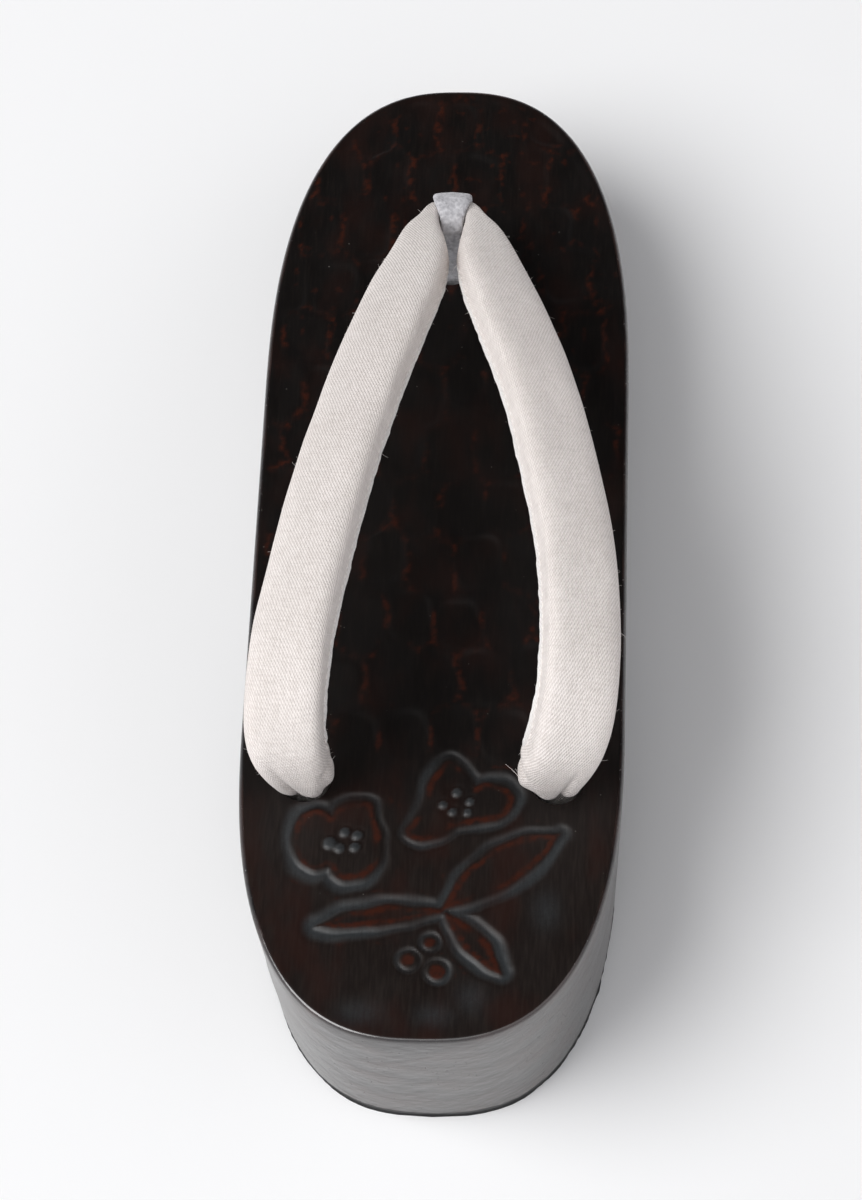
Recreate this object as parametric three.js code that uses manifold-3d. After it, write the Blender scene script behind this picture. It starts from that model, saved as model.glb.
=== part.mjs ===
// Geta sandal, the left shoe of a pair: a lacquered wooden board (dai) with an arched underside on two thin
// rubbers, a padded cloth strap (hanao) whose two arms meet in front, and a folded felt toe loop (maetsubo).
// Millimetres, +Z up, +Y to the toe, +X to the wearer's right, origin on the floor under the board's middle.
import * as THREE from "three";
import { mergeVertices } from "three/addons/utils/BufferGeometryUtils.js";
import Module from "manifold-3d";

const wasm = await Module();
wasm.setup();

// Board: plan, heights and draft
const LENGTH = 240;
const WIDTH = 80;
const HEEL_HEIGHT = 51; // floor to deck at the heel's end
const TOE_HEIGHT = 40; // floor to deck at the toe's end
const DECK_SAG = 1; // dip of the deck's middle below a straight line
const HEEL_ROUND = { reach: 74, power: 2.64 }; // superellipse that closes the plan behind
const TOE_ROUND = { reach: 84, power: 2.52 }; // and in front
const EDGE_BREAK = 1.2; // rounded-off edge of the deck
const DRAFT = { side: 1.6, heel: 3.8, toe: 3 }; // how far the wall leans in from the deck down to the floor

// Underside: rubbers, arch and toe spring, as distances along Y
const RUBBER_THICK = 2;
const HEEL_BREAST_Y = -66; // front end of the heel's tread
const TREAD_BACK_Y = 0; // back end of the forefoot's tread
const TREAD_FRONT_Y = 63; // where the toe spring starts
const ARCH_HANDLES = [
  { share: 0.1, rise: 18 }, // share of the arch's span from the heel, and rise above the tread
  { share: 0.5, rise: 16 },
];
const TOE_SPRING = 15; // height of the underside at the toe's tip above the tread

// Holes for the strap and the toe loop
const REAR_HOLE = { x: 26, y: -60.5, radius: 5.5 };
const FRONT_HOLE = { y: 69.5, radius: 4.3 };
const FIT_GAP = 0.3;

// Strap: a padded band that leans a little to the wearer's right
const STRAP_POWER = 2.5; // superellipse power of the padded section
const CORNER = Math.SQRT2 * 0.5 ** (1 / STRAP_POWER); // how far the section's corners reach past a circle
const TAIL = (2 * (REAR_HOLE.radius - FIT_GAP)) / CORNER; // size of the strap's tail in its hole
const ROLL = THREE.MathUtils.degToRad(4); // both arms turn with the lean
const ROLL_HEIGHT = 20; // and have turned fully from this height up
const JOIN = { y: 72.5, height: 16, radius: 3, half: 5, lean: 1.1 }; // cord that joins the arms in the toe loop

// One arm from its tail in the rear hole to its tip at the toe loop. out is the distance from the strap's
// middle line, lean moves that line to the right, height is over the deck and tilt, in degrees, hangs the
// outer edge.
const STRAP_ROWS = [
  { y: REAR_HOLE.y, out: REAR_HOLE.x, lean: 0, height: -16, wide: TAIL, thick: TAIL, tilt: 0 },
  { y: REAR_HOLE.y, out: REAR_HOLE.x, lean: 0, height: -7, wide: TAIL, thick: TAIL, tilt: 0 },
  { y: REAR_HOLE.y, out: REAR_HOLE.x, lean: 0, height: 1, wide: TAIL, thick: TAIL, tilt: 0 },
  { y: -62, out: 26.7, lean: -0.5, height: 10, wide: 14.4, thick: 9.8, tilt: 4 },
  { y: -60.5, out: 28.7, lean: 0, height: 19, wide: 16.6, thick: 9.4, tilt: 8 },
  { y: -54, out: 29.6, lean: 1.1, height: 27, wide: 16.9, thick: 9.2, tilt: 12 },
  { y: -42, out: 29.1, lean: 2.1, height: 32, wide: 16.8, thick: 9, tilt: 15 },
  { y: -25, out: 27.1, lean: 3, height: 34.2, wide: 16.8, thick: 9, tilt: 16 },
  { y: -5, out: 23.4, lean: 3.1, height: 34.5, wide: 16.8, thick: 9, tilt: 16 },
  { y: 15, out: 18.9, lean: 3.1, height: 33, wide: 16.7, thick: 9, tilt: 15 },
  { y: 33, out: 13.7, lean: 2.5, height: 30.3, wide: 16.6, thick: 9, tilt: 14 },
  { y: 46, out: 9.9, lean: 2.1, height: 26.8, wide: 15.8, thick: 9, tilt: 12 },
  { y: 56, out: 7.4, lean: 1.7, height: 23.2, wide: 13.2, thick: 8.8, tilt: 10 },
  { y: 63.5, out: 6.6, lean: 1.3, height: 20, wide: 9.4, thick: 8.4, tilt: 6 },
  { y: 69, out: 6.2, lean: 1.1, height: 17.6, wide: 5.8, thick: 7.4, tilt: 0 },
  { y: 75, out: 4.9, lean: 1.1, height: 16, wide: 2.6, thick: 4.2, tilt: 0 },
];
const STRAP_STEPS_PER_ROW = 3;
const STRAP_SIDES = 18;

// Toe loop: a felt strip folded over the join, both ends down the front hole. y is from the hole's middle.
const FELT_THICK = 2.2;
const FELT_FLAT = 0.86; // flat share of the strip's width, the rest is its rounded edge
const FELT_ROWS = [
  { y: -1.3, height: -12, wide: 6 },
  { y: -1.3, height: 0, wide: 6 },
  { y: -1.4, height: 9, wide: 5 },
  { y: -1.4, height: 15.6, wide: 4.6 },
  { y: -0.2, height: 19, wide: 5.2 },
  { y: 3, height: 20.4, wide: 7 },
  { y: 6.2, height: 19, wide: 8.4 },
  { y: 7.6, height: 15.8, wide: 8.4 },
  { y: 6.4, height: 12, wide: 7 },
  { y: 3.6, height: 8.6, wide: 6 },
  { y: 1.8, height: 5, wide: 6 },
  { y: 1.3, height: 0, wide: 6 },
  { y: 1.3, height: -12, wide: 6 },
];
const FELT_STEPS_PER_ROW = 3;

// Fineness
const OUTLINE_STEPS = 22; // points round each quarter of the plan
const PROFILE_STEPS = 18; // points along each curve of the underside
const HOLE_SIDES = 28;
const JOIN_SIDES = 16;
const MERGE_DISTANCE = 1e-4;
const NUDGE = 1e-3; // step along a run of rows from which its direction is taken

// A closed mesh as a solid for joining and cutting, and back again
function solidOf(geometry) {
  const bare = geometry.clone();
  bare.deleteAttribute("normal");
  bare.deleteAttribute("uv");
  const merged = mergeVertices(bare, MERGE_DISTANCE);
  return new wasm.Manifold(
    new wasm.Mesh({
      numProp: 3,
      vertProperties: new Float32Array(merged.attributes.position.array),
      triVerts: new Uint32Array(merged.index.array),
    }),
  );
}

function geometryOf(solid) {
  const mesh = solid.getMesh();
  const geometry = new THREE.BufferGeometry();
  geometry.setAttribute("position", new THREE.BufferAttribute(mesh.vertProperties, 3));
  geometry.setIndex(new THREE.BufferAttribute(mesh.triVerts, 1));
  geometry.computeVertexNormals();
  return geometry;
}

// Triangles across a ring that starts on its own line of symmetry: rungs join point i to point count - i
function ladder(count) {
  const faces = [];
  for (let i = 0; i < count / 2; i++) {
    const far = count - i - 1;
    if (i + 1 !== far) faces.push([i, i + 1, far]);
    if (i > 0) faces.push([i, far, far + 1]);
  }
  return faces;
}

// A closed, capped skin through rings of equal count that run counter-clockwise seen from the last one
function loft(rings) {
  const count = rings[0].length;
  const last = (rings.length - 1) * count;
  const points = rings.flat().flatMap((p) => [p.x, p.y, p.z]);
  const faces = [];
  for (let r = 0; r < last; r += count) {
    for (let i = 0; i < count; i++) {
      const next = (i + 1) % count;
      faces.push([r + i, r + next, r + count + next], [r + i, r + count + next, r + count + i]);
    }
  }
  for (const [a, b, c] of ladder(count)) {
    faces.push([c, b, a], [last + a, last + b, last + c]);
  }
  const geometry = new THREE.BufferGeometry();
  geometry.setAttribute("position", new THREE.Float32BufferAttribute(points, 3));
  geometry.setIndex(faces.flat());
  return geometry;
}

// Board's plan and deck
function deckHeight(y) {
  const t = y / LENGTH + 0.5;
  return HEEL_HEIGHT + (TOE_HEIGHT - HEEL_HEIGHT) * t - 4 * DECK_SAG * t * (1 - t);
}

// Ring of the board's plan drawn in by the given insets, from the heel's apex round the right side to the toe's
function planRing({ side, heel, toe }, heightAt) {
  const half = WIDTH / 2 - side;
  const quarter = (round, inset, end) =>
    Array.from({ length: OUTLINE_STEPS }, (_, i) => {
      const angle = ((i / OUTLINE_STEPS) * Math.PI) / 2;
      const reach = round.reach - inset;
      const x = half * Math.sin(angle) ** (2 / round.power);
      const y = LENGTH / 2 - inset - reach * (1 - Math.cos(angle) ** (2 / round.power));
      return { x, y: end * y };
    });
  const right = [
    ...quarter(HEEL_ROUND, heel, -1),
    { x: half, y: -LENGTH / 2 + HEEL_ROUND.reach },
    { x: half, y: 0 },
    { x: half, y: LENGTH / 2 - TOE_ROUND.reach },
    ...quarter(TOE_ROUND, toe, 1).reverse(),
  ];
  const left = right.slice(1, -1).reverse();
  const outline = [...right, ...left.map(({ x, y }) => ({ x: -x, y }))];
  return outline.map(({ x, y }) => new THREE.Vector3(x, y, heightAt(y)));
}

const drawnIn = (share) => ({ side: DRAFT.side * share, heel: DRAFT.heel * share, toe: DRAFT.toe * share });
const levelAt = (z) => planRing(drawnIn(1 - z / HEEL_HEIGHT), () => z);

// A solid across the board's full width from a side profile drawn in Y and Z
function acrossBoard(shape) {
  const depth = 2 * WIDTH;
  const bar = new THREE.ExtrudeGeometry(shape, { depth, bevelEnabled: false, curveSegments: PROFILE_STEPS });
  bar.applyMatrix4(new THREE.Matrix4().makeBasis(
    new THREE.Vector3(0, 1, 0),
    new THREE.Vector3(0, 0, 1),
    new THREE.Vector3(1, 0, 0),
  ));
  bar.translate(-WIDTH, 0, 0);
  return solidOf(bar);
}

function slab(yLow, yHigh) {
  const shape = new THREE.Shape();
  shape.moveTo(yLow, -RUBBER_THICK).lineTo(yHigh, -RUBBER_THICK);
  shape.lineTo(yHigh, 2 * RUBBER_THICK).lineTo(yLow, 2 * RUBBER_THICK);
  return acrossBoard(shape);
}

function archCut() {
  const span = TREAD_BACK_Y - HEEL_BREAST_Y;
  const shape = new THREE.Shape();
  shape.moveTo(HEEL_BREAST_Y, 0).lineTo(HEEL_BREAST_Y, RUBBER_THICK);
  const handle = ({ share, rise }) => [HEEL_BREAST_Y + span * share, RUBBER_THICK + rise];
  const [behind, ahead] = ARCH_HANDLES.map(handle);
  shape.bezierCurveTo(...behind, ...ahead, TREAD_BACK_Y, RUBBER_THICK);
  shape.lineTo(TREAD_BACK_Y, 0);
  return acrossBoard(shape);
}

function toeSpringCut() {
  const tip = LENGTH / 2;
  const shape = new THREE.Shape();
  shape.moveTo(TREAD_FRONT_Y, 0).lineTo(TREAD_FRONT_Y, RUBBER_THICK);
  shape.quadraticCurveTo((TREAD_FRONT_Y + tip) / 2, RUBBER_THICK, tip, RUBBER_THICK + TOE_SPRING);
  shape.lineTo(tip + WIDTH, RUBBER_THICK + TOE_SPRING).lineTo(tip + WIDTH, 0);
  return acrossBoard(shape);
}

function hole(x, y, radius) {
  const drill = new THREE.CylinderGeometry(radius, radius, 4 * HEEL_HEIGHT, HOLE_SIDES);
  drill.rotateX(Math.PI / 2);
  drill.translate(x, y, 0);
  return solidOf(drill);
}

function daiGeometry() {
  const broken = { side: EDGE_BREAK, heel: EDGE_BREAK, toe: EDGE_BREAK };
  const rings = [
    levelAt(RUBBER_THICK),
    planRing({ side: 0, heel: 0, toe: 0 }, (y) => deckHeight(y) - EDGE_BREAK),
    planRing(broken, deckHeight),
  ];
  const cuts = [
    archCut(),
    toeSpringCut(),
    hole(REAR_HOLE.x, REAR_HOLE.y, REAR_HOLE.radius),
    hole(-REAR_HOLE.x, REAR_HOLE.y, REAR_HOLE.radius),
    hole(0, FRONT_HOLE.y, FRONT_HOLE.radius),
  ];
  return geometryOf(cuts.reduce((board, cut) => board.subtract(cut), solidOf(loft(rings))));
}

function rubberGeometry(yLow, yHigh) {
  const sheet = solidOf(loft([levelAt(0), levelAt(RUBBER_THICK)]));
  return geometryOf(sheet.intersect(slab(yLow, yHigh)));
}

// Smooth run of a table's columns, read at t from 0 at the first row to 1 at the last
function smoothRows(rows, columns) {
  const curve = new THREE.CatmullRomCurve3(
    rows.map((row) => new THREE.Vector3(...columns.map((column) => row[column]))),
    false,
    "catmullrom",
    0.5,
  );
  return (t) => curve.getPoint(t);
}

// Strap: each arm is a run of rounded sections, side -1 for the left and 1 for the right
function armGeometry(side) {
  const rows = STRAP_ROWS.map((row) => ({ ...row, x: side * row.out + row.lean }));
  const path = smoothRows(rows, ["x", "y", "height"]);
  const size = smoothRows(rows, ["wide", "thick", "tilt"]);
  const pointAt = (t) => {
    const { x, y, z: height } = path(t);
    return new THREE.Vector3(x, y, deckHeight(y) + height);
  };
  const steps = (STRAP_ROWS.length - 1) * STRAP_STEPS_PER_ROW;
  const rings = Array.from({ length: steps + 1 }, (_, i) => {
    const t = i / steps;
    const middle = pointAt(t);
    const along = pointAt(Math.min(t + NUDGE, 1)).sub(pointAt(Math.max(t - NUDGE, 0))).normalize();
    const { x: wide, y: thick, z: tilt } = size(t);
    const roll = ROLL * THREE.MathUtils.smoothstep(path(t).z, 0, ROLL_HEIGHT);
    const across = new THREE.Vector3(1, 0, 0).addScaledVector(along, -along.x).normalize();
    const lift = new THREE.Vector3().crossVectors(across, along);
    const turn = THREE.MathUtils.degToRad(side * tilt) + roll;
    across.applyAxisAngle(along, turn);
    lift.applyAxisAngle(along, turn);
    return Array.from({ length: STRAP_SIDES }, (_, k) => {
      const angle = (2 * Math.PI * k) / STRAP_SIDES;
      const rounded = (v) => Math.sign(v) * Math.abs(v) ** (2 / STRAP_POWER);
      return middle
        .clone()
        .addScaledVector(across, (wide / 2) * rounded(Math.cos(angle)))
        .addScaledVector(lift, (thick / 2) * rounded(Math.sin(angle)));
    });
  });
  return loft(rings.reverse());
}

function hanaoGeometry() {
  const join = new THREE.CylinderGeometry(JOIN.radius, JOIN.radius, 2 * JOIN.half, JOIN_SIDES);
  join.rotateZ(Math.PI / 2);
  join.translate(JOIN.lean, JOIN.y, deckHeight(FRONT_HOLE.y) + JOIN.height);
  const arms = [-1, 1].map((side) => solidOf(armGeometry(side)));
  return geometryOf(solidOf(join).add(arms[0]).add(arms[1]));
}

// Toe loop, drawn from the front hole's middle at deck level
function maetsuboGeometry() {
  const row = smoothRows(FELT_ROWS, ["y", "height", "wide"]);
  const steps = (FELT_ROWS.length - 1) * FELT_STEPS_PER_ROW;
  const rings = Array.from({ length: steps + 1 }, (_, i) => {
    const t = i / steps;
    const { x: y, y: height, z: wide } = row(t);
    const lean = (JOIN.lean * Math.max(height, 0)) / JOIN.height;
    const ahead = row(Math.min(t + NUDGE, 1));
    const behind = row(Math.max(t - NUDGE, 0));
    const normal = new THREE.Vector2(behind.y - ahead.y, ahead.x - behind.x).normalize();
    const corner = (x, face) =>
      new THREE.Vector3(
        (x * wide) / 2 + lean,
        y + (face * normal.x * FELT_THICK) / 2,
        height + (face * normal.y * FELT_THICK) / 2,
      );
    const faces = [[FELT_FLAT, 1], [-FELT_FLAT, 1], [-1, 0], [-FELT_FLAT, -1], [FELT_FLAT, -1]];
    return [corner(1, 0), ...faces.map(([x, face]) => corner(x, face))];
  });
  return loft(rings.reverse());
}

// Assembly
function piece(name, geometry, look) {
  const mesh = new THREE.Mesh(geometry, new THREE.MeshStandardMaterial(look));
  mesh.name = name;
  return mesh;
}

const lacquer = { color: 0x1c110e, roughness: 0.22, metalness: 0 };
const rubber = { color: 0x161617, roughness: 0.8, metalness: 0 };
const cloth = { color: 0xd8cfc7, roughness: 0.95, metalness: 0 };
const felt = { color: 0x9b9da1, roughness: 1, metalness: 0 };

const sole = new THREE.Group();
sole.add(piece("dai", daiGeometry(), lacquer));
sole.add(piece("heel_rubber", rubberGeometry(-LENGTH, HEEL_BREAST_Y), rubber));
sole.add(piece("fore_rubber", rubberGeometry(TREAD_BACK_Y, TREAD_FRONT_Y), rubber));

const upper = new THREE.Group();
upper.add(piece("hanao", hanaoGeometry(), cloth));
const maetsubo = piece("maetsubo", maetsuboGeometry(), felt);
maetsubo.position.set(0, FRONT_HOLE.y, deckHeight(FRONT_HOLE.y));
upper.add(maetsubo);

const geta = new THREE.Group();
geta.name = "geta";
geta.add(sole, upper);

export default geta;
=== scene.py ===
# %% [markdown]
# # A carved geta sandal
# This is the left sandal of a pair: a lacquered wooden board on two thin rubbers, a padded cloth strap and
# a felt loop for the toes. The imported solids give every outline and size, and this lesson dresses them.
# Sizes are in millimetres, as a maker would say them, and one helper turns finished meshes into metres.

# %% Load the solids as a fixed frame
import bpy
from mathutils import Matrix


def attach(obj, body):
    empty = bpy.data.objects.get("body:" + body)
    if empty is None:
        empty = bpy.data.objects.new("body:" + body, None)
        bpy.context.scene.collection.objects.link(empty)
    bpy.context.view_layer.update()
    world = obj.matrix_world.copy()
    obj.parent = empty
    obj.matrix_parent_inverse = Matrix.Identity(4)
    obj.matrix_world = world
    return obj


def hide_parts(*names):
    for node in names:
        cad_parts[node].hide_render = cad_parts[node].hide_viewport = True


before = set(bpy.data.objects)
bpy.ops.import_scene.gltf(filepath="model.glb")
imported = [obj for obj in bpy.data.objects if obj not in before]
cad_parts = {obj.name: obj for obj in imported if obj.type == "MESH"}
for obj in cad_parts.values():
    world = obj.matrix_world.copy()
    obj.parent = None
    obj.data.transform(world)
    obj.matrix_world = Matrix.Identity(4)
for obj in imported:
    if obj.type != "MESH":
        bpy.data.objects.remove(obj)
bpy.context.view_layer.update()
print("solids:", list(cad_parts))

# %% The tools of the lesson
import math

import bmesh
import bpy
import numpy as np
from mathutils import Matrix, Vector, noise

MM = 0.001

# %% [markdown]
# ## The camera
# The photograph looks down on the heel from a standing person's height, with a long lens. The camera keeps
# that spot, turns towards this one sandal, and rolls so that the sandal leans as it does there.

# %% Camera at the photograph's spot
CAMERA_SPOT = Vector((44.0, -407.1, 759.1))
CAMERA_AIM = Vector((-1.5, -16.8, 45.0))
CAMERA_ROLL = math.radians(-5.4)
CAMERA_LENS, CAMERA_SENSOR = 115.0, 36.0

camera = bpy.data.objects.new("camera", bpy.data.cameras.new("camera"))
camera.data.lens = CAMERA_LENS
camera.data.sensor_width = CAMERA_SENSOR
camera.location = CAMERA_SPOT * MM
look = (CAMERA_AIM - CAMERA_SPOT).to_track_quat("-Z", "Y")
camera.rotation_mode = "QUATERNION"
camera.rotation_quaternion = look @ Matrix.Rotation(CAMERA_ROLL, 4, "Z").to_quaternion()
bpy.context.collection.objects.link(camera)
bpy.context.scene.camera = camera
print("camera stands", round((CAMERA_SPOT - CAMERA_AIM).length), "mm from the deck")

# %% [markdown]
# ## Writing materials as sums
# A material is a web of nodes, and long webs are hard to read. `Value` stands for a number that changes
# over the surface, and arithmetic on it adds Math nodes. `Finish` is one material: its `node` method adds
# any other node, settings first and then values or links.

# %% A value that varies over a surface
class Value:
    """A number that changes over a surface. Arithmetic on it adds Math nodes."""

    def __init__(self, finish, socket):
        self.finish = finish
        self.socket = socket

    def math(self, operation, first, second):
        node = self.finish.node("ShaderNodeMath", {"operation": operation}, {0: first, 1: second})
        return Value(self.finish, node.outputs[0])

    def __add__(self, other):
        return self.math("ADD", self, other)

    def __sub__(self, other):
        return self.math("SUBTRACT", self, other)

    def __rsub__(self, other):
        return self.math("SUBTRACT", other, self)

    def __mul__(self, other):
        return self.math("MULTIPLY", self, other)

    __radd__ = __add__
    __rmul__ = __mul__

    def sine(self):
        return self.math("SINE", self, 0.0)

    def ramp(self, low, high):
        """0 below low, 1 above high, and a soft step between; low may be the larger one."""
        inputs = {"Value": self, "From Min": low, "From Max": high}
        node = self.finish.node("ShaderNodeMapRange", {"interpolation_type": "SMOOTHSTEP"}, inputs)
        return Value(self.finish, node.outputs[0])


# %% One finish
def paint(red, green, blue):
    """A colour as a screen shows it, 0 to 255, turned into the light that a shader works with."""
    def light(level):
        share = level / 255
        return share / 12.92 if share <= 0.04045 else ((share + 0.055) / 1.055) ** 2.4
    return (light(red), light(green), light(blue), 1.0)


class Finish:
    """A material with one Principled shader, and short ways to add nodes to it."""

    def __init__(self, name, constants):
        self.material = bpy.data.materials.new(name)
        self.material.use_nodes = True
        self.tree = self.material.node_tree
        self.shader = self.tree.nodes["Principled BSDF"]
        for socket, value in constants.items():
            self.shader.inputs[socket].default_value = value

    def node(self, kind, settings, inputs):
        node = self.tree.nodes.new(kind)
        for name, value in settings.items():
            setattr(node, name, value)
        for socket, value in inputs.items():
            self.join(value, node.inputs[socket])
        return node

    def join(self, value, socket):
        if isinstance(value, Value):
            self.tree.links.new(value.socket, socket)
        elif isinstance(value, bpy.types.NodeSocket):
            self.tree.links.new(value, socket)
        else:
            socket.default_value = value

    def feed(self, socket, value):
        self.join(value, self.shader.inputs[socket])

    def millimetres(self):
        """Place on the piece, in millimetres."""
        place = self.node("ShaderNodeTexCoord", {}, {}).outputs["Object"]
        return self.stretch(place, (1 / MM, 1 / MM, 1 / MM))

    def stretch(self, place, scale):
        return self.node("ShaderNodeVectorMath", {"operation": "MULTIPLY"}, {0: place, 1: scale}).outputs[0]

    def axis(self, place, name):
        return Value(self, self.node("ShaderNodeSeparateXYZ", {}, {0: place}).outputs[name])

    def cloud(self, place, size, detail, scale=None):
        """Soft noise from 0 to 1 with lumps of the given size; a small scale draws them out that way."""
        if scale:
            place = self.stretch(place, scale)
        inputs = {"Vector": place, "Scale": 1.0 / size, "Detail": detail}
        return Value(self, self.node("ShaderNodeTexNoise", {}, inputs).outputs[0])

    def attribute(self, name):
        return Value(self, self.node("ShaderNodeAttribute", {"attribute_name": name}, {}).outputs["Fac"])

    def mix(self, share, first, second):
        inputs = {0: share, 6: first, 7: second}
        return self.node("ShaderNodeMix", {"data_type": "RGBA"}, inputs).outputs[2]

    def bump(self, height, depth, strength):
        inputs = {"Height": height, "Distance": depth * MM, "Strength": strength}
        self.feed("Normal", self.node("ShaderNodeBump", {}, inputs).outputs[0])


print("materials are written with Value and Finish")

# %% [markdown]
# ## From a bmesh to a piece
# Each piece ends in the same way: normals outwards, scaled to metres, smooth shaded, given its finish and
# the body it rides on. Objects stay at the origin, so that patterns on Object coordinates keep their
# place.

# %% Hand over a finished mesh
def link_object(name, shape):
    """Turn a bmesh into an object of the scene."""
    mesh = bpy.data.meshes.new(name)
    shape.to_mesh(mesh)
    shape.free()
    thing = bpy.data.objects.new(name, mesh)
    bpy.context.collection.objects.link(thing)
    return thing


def make_piece(name, shape, finish):
    bmesh.ops.recalc_face_normals(shape, faces=shape.faces)
    bmesh.ops.scale(shape, vec=(MM, MM, MM), verts=shape.verts)
    piece = link_object(name, shape)
    piece.data.shade_smooth()
    piece.data.materials.append(finish.material)
    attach(piece, "root")
    piece.data.calc_loop_triangles()
    print(name, "has", len(piece.data.loop_triangles), "triangles")
    return piece


# %% [markdown]
# ## The board's form
# The board is one block of wood. Its plan is straight at the sides and closed by two rounder ends, its
# deck falls towards the toe, its wall leans in towards the floor, and an arch is sawn out underneath. The
# solid was made from the same numbers; only the edge is crisper here.

# %% Plan, deck and underside
LENGTH = 240.0
WIDTH = 80.0
HEEL_HEIGHT = 51.0
TOE_HEIGHT = 40.0
DECK_SAG = 1.0
HEEL_REACH, HEEL_POWER = 74.0, 2.64
TOE_REACH, TOE_POWER = 84.0, 2.52
EDGE_ROUND = 0.95
DRAFT_SIDE, DRAFT_HEEL, DRAFT_TOE = 1.6, 3.8, 3.0
RUBBER_THICK = 2.0
HEEL_BREAST_Y, TREAD_BACK_Y, TREAD_FRONT_Y = -66.0, 0.0, 63.0
ARCH_BEHIND, ARCH_AHEAD = (-59.4, 20.0), (-33.0, 18.0)
ARCH_POINTS = 60
TOE_SPRING = 15.0


def deck_height(y):
    share = y / LENGTH + 0.5
    return HEEL_HEIGHT + (TOE_HEIGHT - HEEL_HEIGHT) * share - 4.0 * DECK_SAG * share * (1.0 - share)


def past_straight(y):
    """How far a point is along the round of its end, 0 at the straight sides and 1 at the tip."""
    reach = np.where(y < 0, HEEL_REACH, TOE_REACH)
    return np.maximum(np.abs(y) - (LENGTH / 2 - reach), 0.0) / reach


def half_width(y, share=0.0):
    """Half the board's width; its wall is drawn in from share 0, at the deck, to share 1, at the floor."""
    power = np.where(y < 0, HEEL_POWER, TOE_POWER)
    reach = np.where(y < 0, HEEL_REACH, TOE_REACH)
    past = past_straight(y) * reach / (reach - share * np.where(y < 0, DRAFT_HEEL, DRAFT_TOE))
    return (WIDTH / 2 - DRAFT_SIDE * share) * np.maximum(1.0 - past ** power, 0.0) ** (1.0 / power)


def draw_in(x, y, side, heel, toe):
    """A point of the plan after the plan is drawn in by so much at the sides, heel and toe."""
    inset = np.where(y < 0, heel, toe)
    return x * (1.0 - 2.0 * side / WIDTH), y - np.sign(y) * past_straight(y) * inset


def along_arch(start, behind, ahead, end, share):
    back = 1.0 - share
    return (back ** 3 * start + 3 * back * back * share * behind
            + 3 * back * share * share * ahead + share ** 3 * end)


arch_share = np.linspace(0.0, 1.0, ARCH_POINTS)
arch_y = along_arch(HEEL_BREAST_Y, ARCH_BEHIND[0], ARCH_AHEAD[0], TREAD_BACK_Y, arch_share)
arch_z = along_arch(RUBBER_THICK, ARCH_BEHIND[1], ARCH_AHEAD[1], RUBBER_THICK, arch_share)


def underside(y):
    spring = np.clip((y - TREAD_FRONT_Y) / (LENGTH / 2 - TREAD_FRONT_Y), 0.0, 1.0)
    arch = np.interp(y, arch_y, arch_z, left=RUBBER_THICK, right=RUBBER_THICK)
    return arch + TOE_SPRING * spring * spring


print("arch rises to", round(float(arch_z.max()), 1), "mm")

# %% [markdown]
# ## The gouge marks
# The deck was worked over with a shallow gouge before it was lacquered. Each cut left a scoop about 10 by
# 15 millimetres, in staggered rows like bricks, with ridges between them. Glossy lacquer shows every
# slope, so the scoops are real: each deck point looks for its two nearest cuts, sinks with the first, and
# stands on a ridge where both are as near.

# %% Scoops and the ridges between them
CUT_WIDE, CUT_LONG = 10.3, 14.6
CUT_DEPTH = 0.2
CUT_TILT = 0.045
CUT_SHIFT_X, CUT_SHIFT_Y = 0.1, 0.16
CUT_SMALLEST, CUT_LARGEST = 0.92, 1.06
CUT_POWER = 3.0
CUT_TABLE = 64
CUT_END_Y = -55.0
RIDGE_WIDE = 0.6
FAR_AWAY = 9.0
cut_random = np.random.default_rng(7)


def for_each_cut(low, high):
    return cut_random.uniform(low, high, (CUT_TABLE, CUT_TABLE))


row_stagger = cut_random.uniform(0.3, 0.7, CUT_TABLE)
cut_shift_x = for_each_cut(-CUT_SHIFT_X, CUT_SHIFT_X)
cut_shift_y = for_each_cut(-CUT_SHIFT_Y, CUT_SHIFT_Y)
cut_size = for_each_cut(CUT_SMALLEST, CUT_LARGEST)
cut_tilt_x = for_each_cut(-CUT_TILT, CUT_TILT)
cut_tilt_y = for_each_cut(-CUT_TILT, CUT_TILT)


def soft_step(low, high, value):
    share = np.clip((value - low) / (high - low), 0.0, 1.0)
    return share * share * (3.0 - 2.0 * share)


def lumps(x, y, size, layer):
    """Smooth noise from about -1 to 1 with lumps of the given size."""
    return np.array([1.6 * noise.noise((a / size, b / size, layer)) for a, b in zip(x, y)])


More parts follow.
